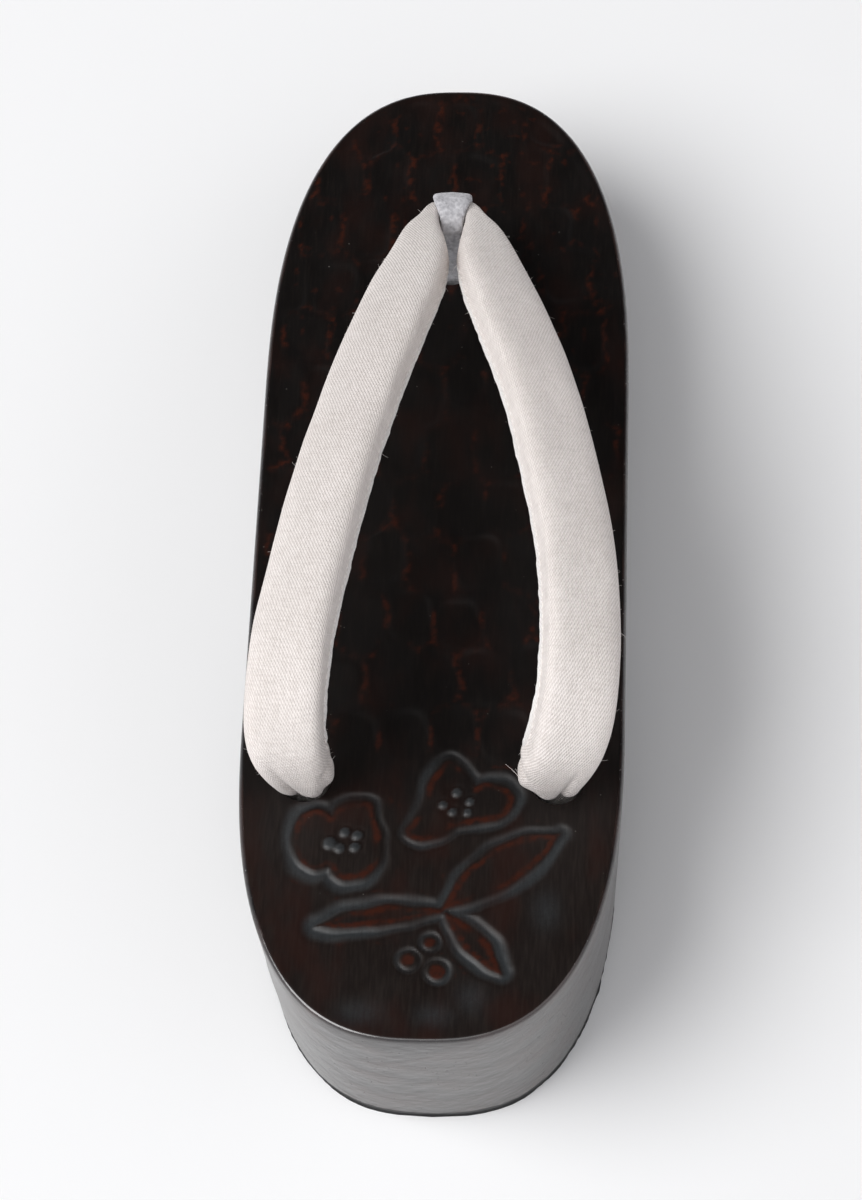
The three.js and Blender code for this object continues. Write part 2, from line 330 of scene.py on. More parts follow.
def gouge_cuts(x, y):
    """How deep the scoops are, and how much of a ridge runs through each point."""
    nearest = np.full(x.shape, FAR_AWAY)
    second = np.full(x.shape, FAR_AWAY)
    tilt = np.zeros(x.shape)
    beside = np.zeros(x.shape)
    base_row = np.floor(y / CUT_LONG).astype(int)
    for row_step in (-1, 0, 1):
        row = base_row + row_step
        stagger = row_stagger[row % CUT_TABLE] * (row % 2)
        base_column = np.floor(x / CUT_WIDE - stagger).astype(int)
        for column_step in (-1, 0, 1):
            column = base_column + column_step
            spot = (row % CUT_TABLE, column % CUT_TABLE)
            from_x = x - (column + 0.5 + stagger + cut_shift_x[spot]) * CUT_WIDE
            from_y = y - (row + 0.5 + cut_shift_y[spot]) * CUT_LONG
            away_x = np.abs(from_x) / (CUT_WIDE / 2 * cut_size[spot])
            away_y = np.abs(from_y) / (CUT_LONG / 2 * cut_size[spot])
            away = (away_x ** CUT_POWER + away_y ** CUT_POWER) ** (1 / CUT_POWER)
            nearer = away < nearest
            second = np.where(nearer, nearest, np.minimum(second, away))
            tilt = np.where(nearer, cut_tilt_x[spot] * from_x + cut_tilt_y[spot] * from_y, tilt)
            beside = np.where(nearer, away_x / (away_x + away_y + 0.001), beside)
            nearest = np.where(nearer, away, nearest)
    bowl = np.maximum(1.0 - nearest ** 2, -0.2)
    depth = CUT_DEPTH * bowl + tilt * soft_step(1.0, 0.7, nearest)
    ridge = soft_step(RIDGE_WIDE, 0.0, second - nearest) * (0.4 + 0.6 * soft_step(0.42, 0.62, beside))
    return depth, ridge


print("gouge cuts of", CUT_WIDE, "by", CUT_LONG, "mm")

# %% [markdown]
# ## The carved flowers
# Behind the strap two flowers, three leaves and some buds are carved in low relief. Their insides stay at
# the level of the deck, and a bowl-shaped groove runs round them, cut wider at some spots than at others.
# A flower is a smooth loop through a few points and a leaf two bows on one line, so every deck point can
# be asked how far it is from the nearest motif. The groove's depth follows that distance.

# %% Motifs, placed on the deck
FLOWERS = [
    [(-27.6, -76.0), (-27.6, -72.2), (-26.2, -69.3), (-23.5, -67.9), (-21.3, -68.6), (-19.9, -69.4),
     (-18.7, -67.4), (-15.4, -65.9), (-12.3, -65.8), (-11.6, -69.0), (-10.2, -73.2), (-9.6, -77.3),
     (-10.6, -81.0), (-13.0, -83.4), (-16.6, -84.1), (-18.9, -83.0), (-20.2, -81.0), (-23.0, -81.9),
     (-26.0, -80.0)],
    [(-0.6, -63.6), (0.4, -59.4), (3.3, -55.9), (5.8, -57.2), (8.0, -60.0), (9.2, -62.3),
     (11.7, -61.2), (15.2, -61.6), (17.3, -64.0), (16.8, -67.1), (14.5, -69.5), (11.4, -70.3),
     (7.8, -70.9), (5.2, -71.4), (3.4, -73.0), (1.0, -74.3), (-2.2, -74.7), (-4.3, -73.2),
     (-3.3, -70.3), (-2.3, -67.6)],
]
LEAVES = [
    {"base": (3.7, -90.2), "tip": (26.9, -72.8), "left": 5.1, "right": 3.7},
    {"base": (3.2, -90.8), "tip": (-22.1, -94.5), "left": 1.7, "right": 2.5},
    {"base": (4.3, -91.4), "tip": (15.7, -104.8), "left": 2.2, "right": 2.2},
]
BUDS = [(1.2, -98.0, 1.2), (-3.0, -101.9, 1.5), (2.7, -104.3, 1.7)]
SEEDS = [(-20.2, -75.6, 1.5), (-17.2, -73.0, 1.2), (-14.6, -73.7, 1.2), (-18.1, -76.7, 1.2),
         (-15.0, -76.4, 1.2), (5.5, -63.5, 1.1), (8.3, -65.6, 1.0), (2.8, -66.4, 1.0),
         (4.8, -68.0, 1.0), (7.9, -68.1, 1.0)]
CARVED_BACK_Y, CARVED_FRONT_Y = -110.0, -48.0
FAR_FROM_MOTIF = 50.0
BUD_STEEPER = 1.6
LOOP_STEPS = 5


def smooth_step_between(start, end, leave, arrive, s):
    """Smooth curve from start to end that leaves and arrives in the given directions."""
    return ((2 * s ** 3 - 3 * s ** 2 + 1) * start + (s ** 3 - 2 * s ** 2 + s) * leave
            + (3 * s ** 2 - 2 * s ** 3) * end + (s ** 3 - s ** 2) * arrive)


def smooth_loop(knots):
    """Closed smooth curve through the knots, as a fine polygon."""
    knots = np.array(knots)
    before, after, beyond = np.roll(knots, 1, 0), np.roll(knots, -1, 0), np.roll(knots, -2, 0)
    leave, arrive = 0.5 * (after - before), 0.5 * (beyond - knots)
    shares = np.arange(LOOP_STEPS) / LOOP_STEPS
    spans = [smooth_step_between(knots, after, leave, arrive, share) for share in shares]
    return np.stack(spans, 1).reshape(-1, 2)


def to_loop(x, y, loop):
    """Distance to a closed outline, negative inside it."""
    near = np.full(x.shape, np.inf)
    inside = np.zeros(x.shape, bool)
    for (start_x, start_y), (end_x, end_y) in zip(loop, np.roll(loop, -1, 0)):
        run_x, run_y = end_x - start_x, end_y - start_y
        share = ((x - start_x) * run_x + (y - start_y) * run_y) / (run_x ** 2 + run_y ** 2)
        share = np.clip(share, 0.0, 1.0)
        near = np.minimum(near, (x - start_x - share * run_x) ** 2 + (y - start_y - share * run_y) ** 2)
        if run_y != 0.0:
            spans_y = (start_y > y) != (end_y > y)
            inside ^= spans_y & (x < start_x + (y - start_y) * run_x / run_y)
    return np.where(inside, -1.0, 1.0) * np.sqrt(near)


def to_discs(x, y, discs):
    return np.min([np.hypot(x - disc[0], y - disc[1]) - disc[2] for disc in discs], axis=0)


def to_leaf(x, y, leaf):
    base, tip = np.array(leaf["base"]), np.array(leaf["tip"])
    length = np.hypot(*(tip - base))
    along_x, along_y = (tip - base) / length
    along = (x - base[0]) * along_x + (y - base[1]) * along_y
    across = (y - base[1]) * along_x - (x - base[0]) * along_y
    share = np.clip(along / length, 0.0, 1.0)
    side = np.where(across > 0, leaf["left"], leaf["right"]) * 4.0 * share * (1.0 - share)
    beyond = np.maximum(np.maximum(-along, along - length), 0.0)
    return np.where(beyond > 0, np.hypot(beyond, across), np.abs(across) - side)


def to_motif(x, y):
    """Distance to the nearest motif, negative inside it, and a large one in front of the carved part."""
    distance = np.full(x.shape, FAR_FROM_MOTIF)
    carved = y < CARVED_FRONT_Y
    x, y = x[carved], y[carved]
    shapes = [to_loop(x, y, smooth_loop(flower)) for flower in FLOWERS]
    shapes += [to_leaf(x, y, leaf) for leaf in LEAVES]
    shapes.append(BUD_STEEPER * to_discs(x, y, BUDS))
    distance[carved] = np.min(shapes, axis=0)
    return distance


print("carving:", len(FLOWERS), "flowers,", len(LEAVES), "leaves,", len(BUDS), "buds")

# %% [markdown]
# ## One relief for the whole deck
# Scoops, grooves, seeds, dents and the slow unevenness of hand work add up to one height for each deck
# point. The same call says where the red undercoat shows, on ridges and along the motifs' rims, and where
# the carving is painted grey: dust in the grooves, and a painted sheen on the glossy groove slopes, seed
# tops and dents. The lacquer reads both shares as attributes.

# %% Height, rubbed-through share, and share of dust and painted sheen of a deck point
def to_edge(x, y):
    """Rough distance from the edge of the deck."""
    power = np.where(y < 0, HEEL_POWER, TOE_POWER)
    reach = np.where(y < 0, HEEL_REACH, TOE_REACH)
    side, past = np.abs(x) / (WIDTH / 2), past_straight(y)
    slope = power * np.hypot(side ** (power - 1) / (WIDTH / 2), past ** (power - 1) / reach)
    return (1.0 - side ** power - past ** power) / np.maximum(slope, 0.005)


GROOVE_DEPTH = 0.5
GROOVE_MIDDLE = 1.3
GROOVE_INNER, GROOVE_OUTER = 1.5, 2.0
# x, y, reach, and how much wider (or narrower) the carver cut the groove there
GROOVE_SPOTS = [(-19.4, -97.1, 9.0, 0.55), (-25.4, -81.0, 8.0, 0.4), (-29.2, -73.3, 6.0, 0.3),
                (20.7, -83.4, 8.0, 0.3), (15.8, -98.5, 6.0, 0.3), (9.1, -100.8, 5.0, 0.2),
                (-8.7, -74.6, 7.0, -0.5), (-11.8, -66.2, 6.0, -0.4), (5.7, -75.6, 6.0, -0.3),
                (22.5, -71.9, 6.0, -0.3), (-2.5, -94.3, 5.0, -0.3), (0.5, -101.5, 5.0, -0.4),
                (4.0, -57.0, 7.0, -0.3)]
SEED_HEIGHT, MOAT_DEPTH = 0.4, 0.12
DENT_DEPTH = 0.22
# x, y, half wide, half long of shallow dents in the plain part of the heel
DENTS = [(-12.9, -114.0, 5.4, 3.4), (2.3, -114.4, 4.6, 3.0), (24.5, -90.6, 3.6, 5.4),
         (9.8, -110.4, 3.4, 4.0)]


def carved_groove(x, y, motif, hand):
    """How much of the groove's depth each point has, and how much wider the groove is there."""
    spots = sum(wider * np.exp(-((x - at_x) ** 2 + (y - at_y) ** 2) / reach ** 2)
                for at_x, at_y, reach, wider in GROOVE_SPOTS)
    wider = np.clip(1.0 + spots + 0.2 * hand, 0.4, 1.7)
    half_wide = np.where(motif < GROOVE_MIDDLE, GROOVE_INNER, GROOVE_OUTER * wider)
    away = np.minimum(np.abs(motif - GROOVE_MIDDLE) / half_wide, 1.0)
    return 0.5 + 0.5 * np.cos(math.pi * away), wider


def deck_relief(x, y):
    """Height, rubbed-through share, and share of dust and painted sheen of deck points."""
    hand = lumps(x, y, 9.0, 5.0)
    slow_hand = lumps(x, y, 16.0, 9.0)
    motif = to_motif(x, y) + 0.4 * lumps(x, y, 5.0, 3.0)
    edge = to_edge(x, y)
    inside_edge = soft_step(EDGE_ROUND, 4.0, edge)

    scoop, ridge = gouge_cuts(x + 0.8 * lumps(x, y, 7.0, 1.0), y + 0.8 * lumps(x, y, 8.0, 2.0))
    worked = soft_step(CUT_END_Y - 5.0, CUT_END_Y + 4.0, y + 3.0 * hand) * soft_step(2.5, 4.5, motif)
    groove, wider = carved_groove(x, y, motif, hand)
    seed = to_discs(x, y, SEEDS)
    dome = np.sqrt(np.maximum(1.0 - (seed + 1.0) ** 2, 0.0))
    moat = np.exp(-((seed - 0.3) / 0.5) ** 2)
    dent = np.max([np.exp(-((x - at_x) / wide) ** 2 - ((y - at_y) / long) ** 2)
                   for at_x, at_y, wide, long in DENTS], axis=0)
    height = 0.08 * slow_hand - scoop * worked - GROOVE_DEPTH * np.sqrt(wider) * groove - DENT_DEPTH * dent
    height = height * inside_edge + SEED_HEIGHT * dome - MOAT_DEPTH * moat

    broken = soft_step(-0.7, 0.2, lumps(x, y, 7.0, 6.0) + 0.5 * lumps(x, y, 20.0, 7.0))
    speckle = soft_step(-0.9, 0.5, lumps(x, y, 1.5, 12.0))
    thin = soft_step(-0.9, 0.3, hand + 0.5 * lumps(x, y, 3.0, 8.0))
    on_ridge = 0.8 * ridge * broken * worked * speckle
    rim = np.exp(-((motif + 0.65) / 0.85) ** 2) * thin * (0.5 + 0.5 * speckle)
    beyond = soft_step(0.1, 0.8, lumps(x, y, 5.0, 10.0))
    outer_rim = 0.5 * np.exp(-((motif - 3.9) / 0.7) ** 2) * beyond * speckle
    on_bud = 0.8 * soft_step(0.2, -0.8, to_discs(x, y, BUDS))
    toe_spots = 0.4 * soft_step(0.55, 0.9, lumps(x, y, 2.4, 11.0)) * soft_step(20.0, 60.0, y)
    rubbed = np.max([on_ridge, rim, outer_rim, on_bud, toe_spots], axis=0) * soft_step(0.3, 2.0, edge)
    # dust in the grooves and painted sheen: the grey also stands in for soft reflections on groove slopes,
    # seed domes and dents
    dust_and_sheen = np.max([groove * (0.15 + 0.6 * wider + 0.25 * hand), dome, 0.6 * dent], axis=0)
    return height, rubbed, np.clip(dust_and_sheen, 0.0, 1.0)


# %% [markdown]
# ## The board's mesh
# The deck is a fine grid squeezed into the plan, with rows crowding towards the two tips so that the round
# ends stay round. Its rim is extruded ring by ring over the rounded edge and down the leaning wall, and
# the two long sides are bridged underneath. A Boolean cuts the three strap holes last.

# %% Grid for the deck
DECK_STEP = 0.62
CARVED_STEP = 0.44
DECK_COLUMNS = 156
TIP_ROWS = 12

tip_rows = DECK_STEP * np.arange(TIP_ROWS) ** 2 / (2 * TIP_ROWS) - LENGTH / 2
even_rows = [-LENGTH / 2 + DECK_STEP * TIP_ROWS / 2]
while even_rows[-1] < LENGTH / 2 - DECK_STEP * TIP_ROWS / 2 - DECK_STEP:
    step = CARVED_STEP if CARVED_BACK_Y < even_rows[-1] < CARVED_FRONT_Y else DECK_STEP
    even_rows.append(even_rows[-1] + step)
deck_y = np.concatenate([tip_rows, even_rows, -tip_rows[::-1]])

board_shape = bmesh.new()
plan_x = board_shape.verts.layers.float.new("plan_x")
plan_y = board_shape.verts.layers.float.new("plan_y")
bmesh.ops.create_grid(board_shape, x_segments=DECK_COLUMNS, y_segments=len(deck_y) - 1, size=1.0)
grid = np.array([vertex.co for vertex in board_shape.verts])
row_of = np.rint((grid[:, 1] + 1.0) / 2.0 * (len(deck_y) - 1)).astype(int)
outline_y = deck_y[row_of]
outline_x = grid[:, 0] * half_width(outline_y)
flat_x, flat_y = draw_in(outline_x, outline_y, EDGE_ROUND, EDGE_ROUND, EDGE_ROUND)
relief = deck_relief(flat_x, flat_y)[0]
flat_z = deck_height(flat_y) + relief
for vertex, px, py, x, y, z in zip(board_shape.verts, outline_x, outline_y, flat_x, flat_y, flat_z):
    vertex[plan_x] = px
    vertex[plan_y] = py
    vertex.co = (x, y, z)
bmesh.ops.remove_doubles(board_shape, verts=board_shape.verts, dist=0.001)
print("deck relief from", round(float(relief.min()), 2), "to", round(float(relief.max()), 2), "mm")

# %% Rounded edge, wall and underside
EDGE_RINGS = 5
WALL_RINGS = 8


def edge_place(x, y, share):
    """Point of the quarter round between the deck, share 0, and the wall, share 1."""
    angle = share * math.pi / 2
    inset = EDGE_ROUND * (1.0 - math.sin(angle))
    in_x, in_y = draw_in(x, y, inset, inset, inset)
    return in_x, in_y, deck_height(in_y) - EDGE_ROUND * (1.0 - math.cos(angle))


def wall_place(x, y, share):
    """Point of the leaning wall between the edge, share 0, and the underside, share 1."""
    foot_share = 1.0 - RUBBER_THICK / HEEL_HEIGHT
    foot_x, foot_y = draw_in(x, y, DRAFT_SIDE * foot_share, DRAFT_HEEL * foot_share, DRAFT_TOE * foot_share)
    top = deck_height(y) - EDGE_ROUND
    down = share
    for _ in range(3):
        at_y = y + (foot_y - y) * down
        down = share * (top - underside(at_y)) / (top - RUBBER_THICK)
    swell = 0.3 * noise.noise((x / 14.0, y / 14.0, top * share / 9.0)) * math.sin(math.pi * share)
    at_x = (x + (foot_x - x) * down) * (1.0 + swell / (WIDTH / 2))
    return at_x, y + (foot_y - y) * down, top + (RUBBER_THICK - top) * down


def made_verts(made):
    return [item for item in made if isinstance(item, bmesh.types.BMVert)]


def made_rim(made):
    """The open edges of what an extrusion made."""
    return [item for item in made if isinstance(item, bmesh.types.BMEdge) and item.is_boundary]


def next_ring(shape, edges, place, share):
    """Extrude a rim, and put each new vertex where place says for its point of the plan."""
    made = bmesh.ops.extrude_edge_only(shape, edges=edges)["geom"]
    for vertex in made_verts(made):
        vertex.co = [float(value) for value in place(vertex[plan_x], vertex[plan_y], share)]
    return made_rim(made)


rim = [edge for edge in board_shape.edges if edge.is_boundary]
for ring in range(1, EDGE_RINGS + 1):
    rim = next_ring(board_shape, rim, edge_place, ring / EDGE_RINGS)
for ring in range(1, WALL_RINGS + 1):
    rim = next_ring(board_shape, rim, wall_place, ring / WALL_RINGS)
for edge in rim:
    edge.smooth = False
rungs = [edge for edge in rim if min(abs(vertex[plan_x]) for vertex in edge.verts) > 1e-6]
bmesh.ops.bridge_loops(board_shape, edges=rungs)
bmesh.ops.holes_fill(board_shape, edges=[edge for edge in board_shape.edges if edge.is_boundary], sides=4)
bmesh.ops.recalc_face_normals(board_shape, faces=board_shape.faces)
open_edges = sum(1 for edge in board_shape.edges if not edge.is_manifold)
print("board closed, open edges:", open_edges)

# %% Cut the strap holes
REAR_HOLE_X, REAR_HOLE_Y, REAR_HOLE_RADIUS = 26.0, -60.5, 5.5
FRONT_HOLE_Y, FRONT_HOLE_RADIUS = 69.5, 4.3
HOLES = [(REAR_HOLE_X, REAR_HOLE_Y, REAR_HOLE_RADIUS), (-REAR_HOLE_X, REAR_HOLE_Y, REAR_HOLE_RADIUS),
         (0.0, FRONT_HOLE_Y, FRONT_HOLE_RADIUS)]
DRILL_SIDES = 64
HOLE_CREASE, FOOT_CREASE = 0.6, 0.5
FOOT_TOP = 20.0

drill_shape = bmesh.new()
for hole_x, hole_y, hole_radius in HOLES:
    spot = Matrix.Translation((hole_x, hole_y, HEEL_HEIGHT / 2))
    bmesh.ops.create_cone(drill_shape, cap_ends=True, segments=DRILL_SIDES, radius1=hole_radius,
                          radius2=hole_radius, depth=3 * HEEL_HEIGHT, matrix=spot)
uncut = link_object("uncut", board_shape)
drill = link_object("drill", drill_shape)
cut = uncut.modifiers.new("holes", "BOOLEAN")
cut.operation = "DIFFERENCE"
cut.solver = "EXACT"
cut.object = drill
drilled = uncut.evaluated_get(bpy.context.evaluated_depsgraph_get())
board_shape = bmesh.new()
board_shape.from_mesh(drilled.to_mesh())
drilled.to_mesh_clear()
for scratch in (uncut, drill):
    bpy.data.objects.remove(scratch)


def on_hole_wall(vertex):
    return any(abs(math.hypot(vertex.co.x - x, vertex.co.y - y) - radius) < 0.02 for x, y, radius in HOLES)


for edge in board_shape.edges:
    bend = edge.calc_face_angle(0.0)
    round_hole = bend > HOLE_CREASE and all(on_hole_wall(vertex) for vertex in edge.verts)
    at_foot = bend > FOOT_CREASE and max(vertex.co.z for vertex in edge.verts) < FOOT_TOP
    if round_hole or at_foot:
        edge.smooth = False
print("holes cut, open edges:", sum(1 for edge in board_shape.edges if not edge.is_manifold))

# %% [markdown]
# ## The lacquer
# Black lacquer over a red undercoat is dark by itself, and bright where it reflects the floor or a lamp.
# On the deck it is worn to a satin: almost black, brown where it is thin, red where it was rubbed through,
# and grey in the carving, where the grey paints both dust and a sheen of the glossy slopes, seeds and dents.
# Streaks along the deck are brush marks.

# %% Worn lacquer of the deck
deck = Finish("deck_lacquer", {"Specular IOR Level": 0.24, "Coat Roughness": 0.42})
place = deck.millimetres()
toward_heel = deck.axis(place, "Y").ramp(-45.0, -80.0)
brush = deck.cloud(place, 0.5, 3.0, (1.0, 0.09, 0.3))
patches = deck.cloud(place, 6.0, 4.0, (1.0, 0.6, 1.0))
fine_patches = deck.cloud(place, 0.9, 3.0)
grit = deck.cloud(place, 0.3, 2.0)
thin = deck.cloud(place, 9.0, 5.0, (1.0, 0.5, 1.0)).ramp(0.45, 0.7)
black = deck.mix(brush.ramp(0.4, 0.8), paint(13, 10, 9), paint(21, 17, 15))
heel_black = deck.mix(brush.ramp(0.35, 0.75), paint(22, 16, 14), paint(32, 26, 23))
ground = deck.mix(toward_heel, black, heel_black)
brown = deck.mix(thin * (0.3 + 0.2 * toward_heel), ground, paint(42, 19, 13))
rubbed = deck.attribute("rubbed") * (0.2 + 1.4 * fine_patches)
red = deck.mix(rubbed.ramp(0.05, 0.85), brown, paint(54, 23, 13))
# painted sheen and dust: the grey below paints dust and the soft reflections of the carving's slopes, seeds
# and dents
dust_and_sheen = deck.attribute("dust_and_sheen") * (0.1 + 0.5 * fine_patches + 0.5 * grit + 0.6 * brush)
film = deck.mix(dust_and_sheen.ramp(0.0, 1.05), red, paint(42, 45, 47))
speck_cells = deck.node("ShaderNodeTexVoronoi", {}, {"Vector": place, "Scale": 0.25})
speck = Value(deck, speck_cells.outputs["Distance"]).ramp(0.05, 0.02) * patches.ramp(0.42, 0.6)
deck.feed("Base Color", deck.mix(speck * 0.5, film, paint(120, 116, 110)))
deck.feed("Roughness", 0.3 + 0.2 * patches + 0.3 * speck)
deck.feed("Coat Weight", 0.5 * dust_and_sheen)
deck.bump(brush * 0.4 + 0.4 * fine_patches + 0.3 * grit, 0.06, 0.4)

# %% [markdown]
# On the wall nobody treads, so the lacquer is still glossy and mirrors the floor. Low swells, slanting
# strokes and pits bend that reflection, and an uneven band along the foot is darker and rougher.

# %% Glossy lacquer of the wall
DARK_FOOT_TOP = 3.0

wall = Finish("wall_lacquer", {"IOR": 1.95})
place = wall.millimetres()
across, depth, up = (wall.axis(place, name) for name in "XYZ")
slant_inputs = {"X": across * 0.06 + up * 0.05, "Y": up * 0.8 - across * 0.66, "Z": depth * 0.3}
slant = wall.node("ShaderNodeCombineXYZ", {}, slant_inputs).outputs[0]
strokes = wall.cloud(slant, 2.2, 2.0)
ridges = wall.cloud(place, 1.6, 3.0, (0.45, 0.45, 1.0))
swells = wall.cloud(place, 7.0, 3.0, (0.6, 0.6, 1.0))
pits = wall.cloud(place, 0.7, 2.0).ramp(0.68, 0.8)
# an uneven band along the foot of the wall is painted near black and made rough
dark_foot = (up - 2.2 * swells - 1.6 * ridges).ramp(DARK_FOOT_TOP - 1.4, DARK_FOOT_TOP - 2.4)
wall_dark = wall.mix(swells.ramp(0.35, 0.7), paint(20, 15, 14), paint(48, 33, 29))
wall_brown = wall.mix(strokes.ramp(0.55, 0.8) * 0.5, wall_dark, paint(66, 52, 48))
wall.feed("Base Color", wall.mix(dark_foot, wall_brown, paint(8, 8, 10)))
wall.feed("Roughness", 0.17 + 0.14 * swells + 0.2 * pits + 0.6 * dark_foot)
wall.bump(ridges * 0.5 + 0.5 * strokes + 2.5 * swells - 0.4 * pits, 0.22, 0.8)

# %% Board piece with both lacquers, and its shares of red undercoat and of dust and painted sheen
DECK_SKIN, EDGE_BAND = 1.6, 1.6
EDGE_FACE_UP = 0.99

board = make_piece("board", board_shape, deck)
board.data.materials.append(wall.material)
board_points = np.array([vertex.co for vertex in board.data.vertices]) / MM
_, rubbed_share, dust_and_sheen_share = deck_relief(board_points[:, 0], board_points[:, 1])
near_deck = board_points[:, 2] > deck_height(board_points[:, 1]) - DECK_SKIN
for name, share in (("rubbed", rubbed_share), ("dust_and_sheen", dust_and_sheen_share)):
    layer = board.data.attributes.new(name, "FLOAT", "POINT")
    layer.data.foreach_set("value", (share * near_deck).astype(np.float32))
centres = np.array([face.center for face in board.data.polygons]) / MM
face_up = np.array([face.normal.z for face in board.data.polygons])
below_deck = centres[:, 2] < deck_height(centres[:, 1]) - DECK_SKIN
on_round = (to_edge(centres[:, 0], centres[:, 1]) < EDGE_BAND) & (face_up < EDGE_FACE_UP)
board.data.polygons.foreach_set("material_index", (below_deck | on_round).astype(np.int32))
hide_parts("dai")
print("red shows on", round(100 * float((rubbed_share > 0.4).mean()), 1), "% of the points")

# %% [markdown]
# ## The rubbers
# Two thin rubber treads are glued under the heel and the ball of the foot. From above they are a dark line
# along the floor; from below they show shallow ribs. Each is a ribbed grid whose rim is extruded upwards
# by the rubber's thickness.

# %% Ribbed treads
RIB_PITCH = 4.2
RIB_DEPTH = 0.7
RUBBER_COLUMNS = 40
RUBBER_STEP = 0.35
TRIM_UNEVEN = 0.9

rubber = Finish("black_rubber", {"Specular IOR Level": 0.2})
place = rubber.millimetres()
grit = rubber.cloud(place, 0.5, 2.0)
scuffs = rubber.cloud(place, 6.0, 4.0, (1.0, 0.4, 1.0))
rubber.feed("Base Color", rubber.mix(scuffs.ramp(0.45, 0.75), paint(14, 14, 16), paint(34, 34, 35)))
rubber.feed("Roughness", 0.55 + 0.3 * scuffs)
rubber.bump(grit, 0.08, 0.5)


def straight_step(low, high, value):
    return min(max((value - low) / (high - low), 0.0), 1.0)


def make_tread(name, back_y, front_y):
    rows = round((front_y - back_y) / RUBBER_STEP)
    shape = bmesh.new()
    bmesh.ops.create_grid(shape, x_segments=RUBBER_COLUMNS, y_segments=rows, size=1.0)
    for vertex in shape.verts:
        y = back_y + (vertex.co.y + 1.0) / 2.0 * (front_y - back_y)
        half = half_width(y, 1.0)
        x = vertex.co.x * half
        border = min(half - abs(x), y - back_y, front_y - y)
        wave = 0.5 + 0.5 * math.cos(2 * math.pi * y / RIB_PITCH)
        groove = straight_step(0.62, 0.78, wave) * straight_step(1.6, 2.4, border)
        vertex.co = (x, y, RIB_DEPTH * groove)
    bmesh.ops.remove_doubles(shape, verts=shape.verts, dist=0.001)
    rim = [edge for edge in shape.edges if edge.is_boundary]
    made = bmesh.ops.extrude_edge_only(shape, edges=rim)["geom"]
    for vertex in made_verts(made):
        half = half_width(vertex.co.y, 1.0)
        wider = half_width(vertex.co.y, 1.0 - RUBBER_THICK / HEEL_HEIGHT) / half if half > 0.01 else 1.0
        vertex.co = (vertex.co.x * wider, vertex.co.y, RUBBER_THICK)
    for vertex in {vertex for edge in rim for vertex in edge.verts}:
        frayed = TRIM_UNEVEN * (noise.noise(vertex.co / 7.0) + 0.5 * noise.noise(vertex.co / 1.6))
        outward = Vector((vertex.co.x / WIDTH, (vertex.co.y - (back_y + front_y) / 2) / LENGTH, 0.0))
        vertex.co += outward * frayed
    top = made_rim(made)
    for edge in rim + top:
        edge.smooth = False
    bmesh.ops.edgeloop_fill(shape, edges=top)
    return make_piece(name, shape, rubber)


HEEL_TIP_Y = -LENGTH / 2 + DRAFT_HEEL
heel_tread = make_tread("heel_tread", HEEL_TIP_Y, HEEL_BREAST_Y)
fore_tread = make_tread("fore_tread", TREAD_BACK_Y, TREAD_FRONT_Y)
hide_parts("heel_rubber")
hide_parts("fore_rubber")

# %% [markdown]
# ## The strap's run
# Each arm of the strap comes up out of its hole behind, swings forward over the instep and narrows to a
# tip beside the toe loop. A table gives its middle line, width, thickness and tilt, and a smooth curve
# runs through the rows. The solid has such a table too; here the arms are a little narrower, as the
# photograph shows them, and the tips reach a little closer to the loop.

# %% Rows of an arm, and a smooth run through them
TAIL_POWER = 2.5
OUTER_POWER, INNER_POWER = 3.2, 4.0
TAIL_WIDE = 9.7
STRAP_ROLL = math.radians(4.0)
ROLL_HEIGHT = 20.0
ARM_TRIM = {-1: 0.045, 1: 0.07}
ARM_STEPS = 240
# y, out from the middle line, lean to the right, height over the deck, wide, thick, tilt in degrees
STRAP_ROWS = np.array([
    (-60.5, 26.0, 0.0, -16.0, TAIL_WIDE, TAIL_WIDE, 0.0),
    (-60.5, 26.0, 0.0, -7.0, TAIL_WIDE, TAIL_WIDE, 0.0),
    (-60.5, 26.0, 0.0, 1.0, TAIL_WIDE, TAIL_WIDE, 0.0),
    (-62.0, 26.7, -0.5, 10.0, 14.4, 9.8, 4.0),
    (-60.5, 28.7, 0.0, 19.0, 16.6, 9.4, 8.0),
    (-54.0, 29.6, 1.1, 27.0, 16.9, 9.2, 12.0),
    (-42.0, 29.1, 2.1, 32.0, 16.8, 9.0, 15.0),
    (-25.0, 27.1, 3.0, 34.2, 16.8, 9.0, 16.0),
    (-5.0, 23.4, 3.1, 34.5, 16.8, 9.0, 16.0),
    (15.0, 18.9, 3.1, 33.0, 16.7, 9.0, 15.0),
    (33.0, 13.7, 2.5, 30.3, 16.6, 9.0, 14.0),
    (46.0, 9.9, 2.1, 26.8, 15.8, 9.0, 12.0),
    (56.0, 7.4, 1.7, 23.2, 13.2, 8.8, 10.0),
    (63.6, 6.4, 1.2, 20.0, 9.1, 8.4, 6.0),
    (69.4, 5.3, 0.9, 17.6, 5.0, 7.0, 0.0),
    (76.3, 3.6, 0.7, 16.2, 2.4, 3.8, 0.0),
])


def smooth_rows(rows, share):
    """Row of a table between its first, share 0, and its last, share 1, on a smooth curve."""
    spot = share * (len(rows) - 1)
    at = min(int(spot), len(rows) - 2)
    s = spot - at
    before = rows[at - 1] if at > 0 else 2 * rows[0] - rows[1]
    after = rows[at + 2] if at + 2 < len(rows) else 2 * rows[-1] - rows[-2]
    start, end = rows[at], rows[at + 1]
    return smooth_step_between(start, end, 0.5 * (end - before), 0.5 * (after - start), s)


def arm_middle(side, share):
    y, out, lean, height = smooth_rows(STRAP_ROWS, share)[:4]
    return Vector((side * out + lean, y, deck_height(y) + height))


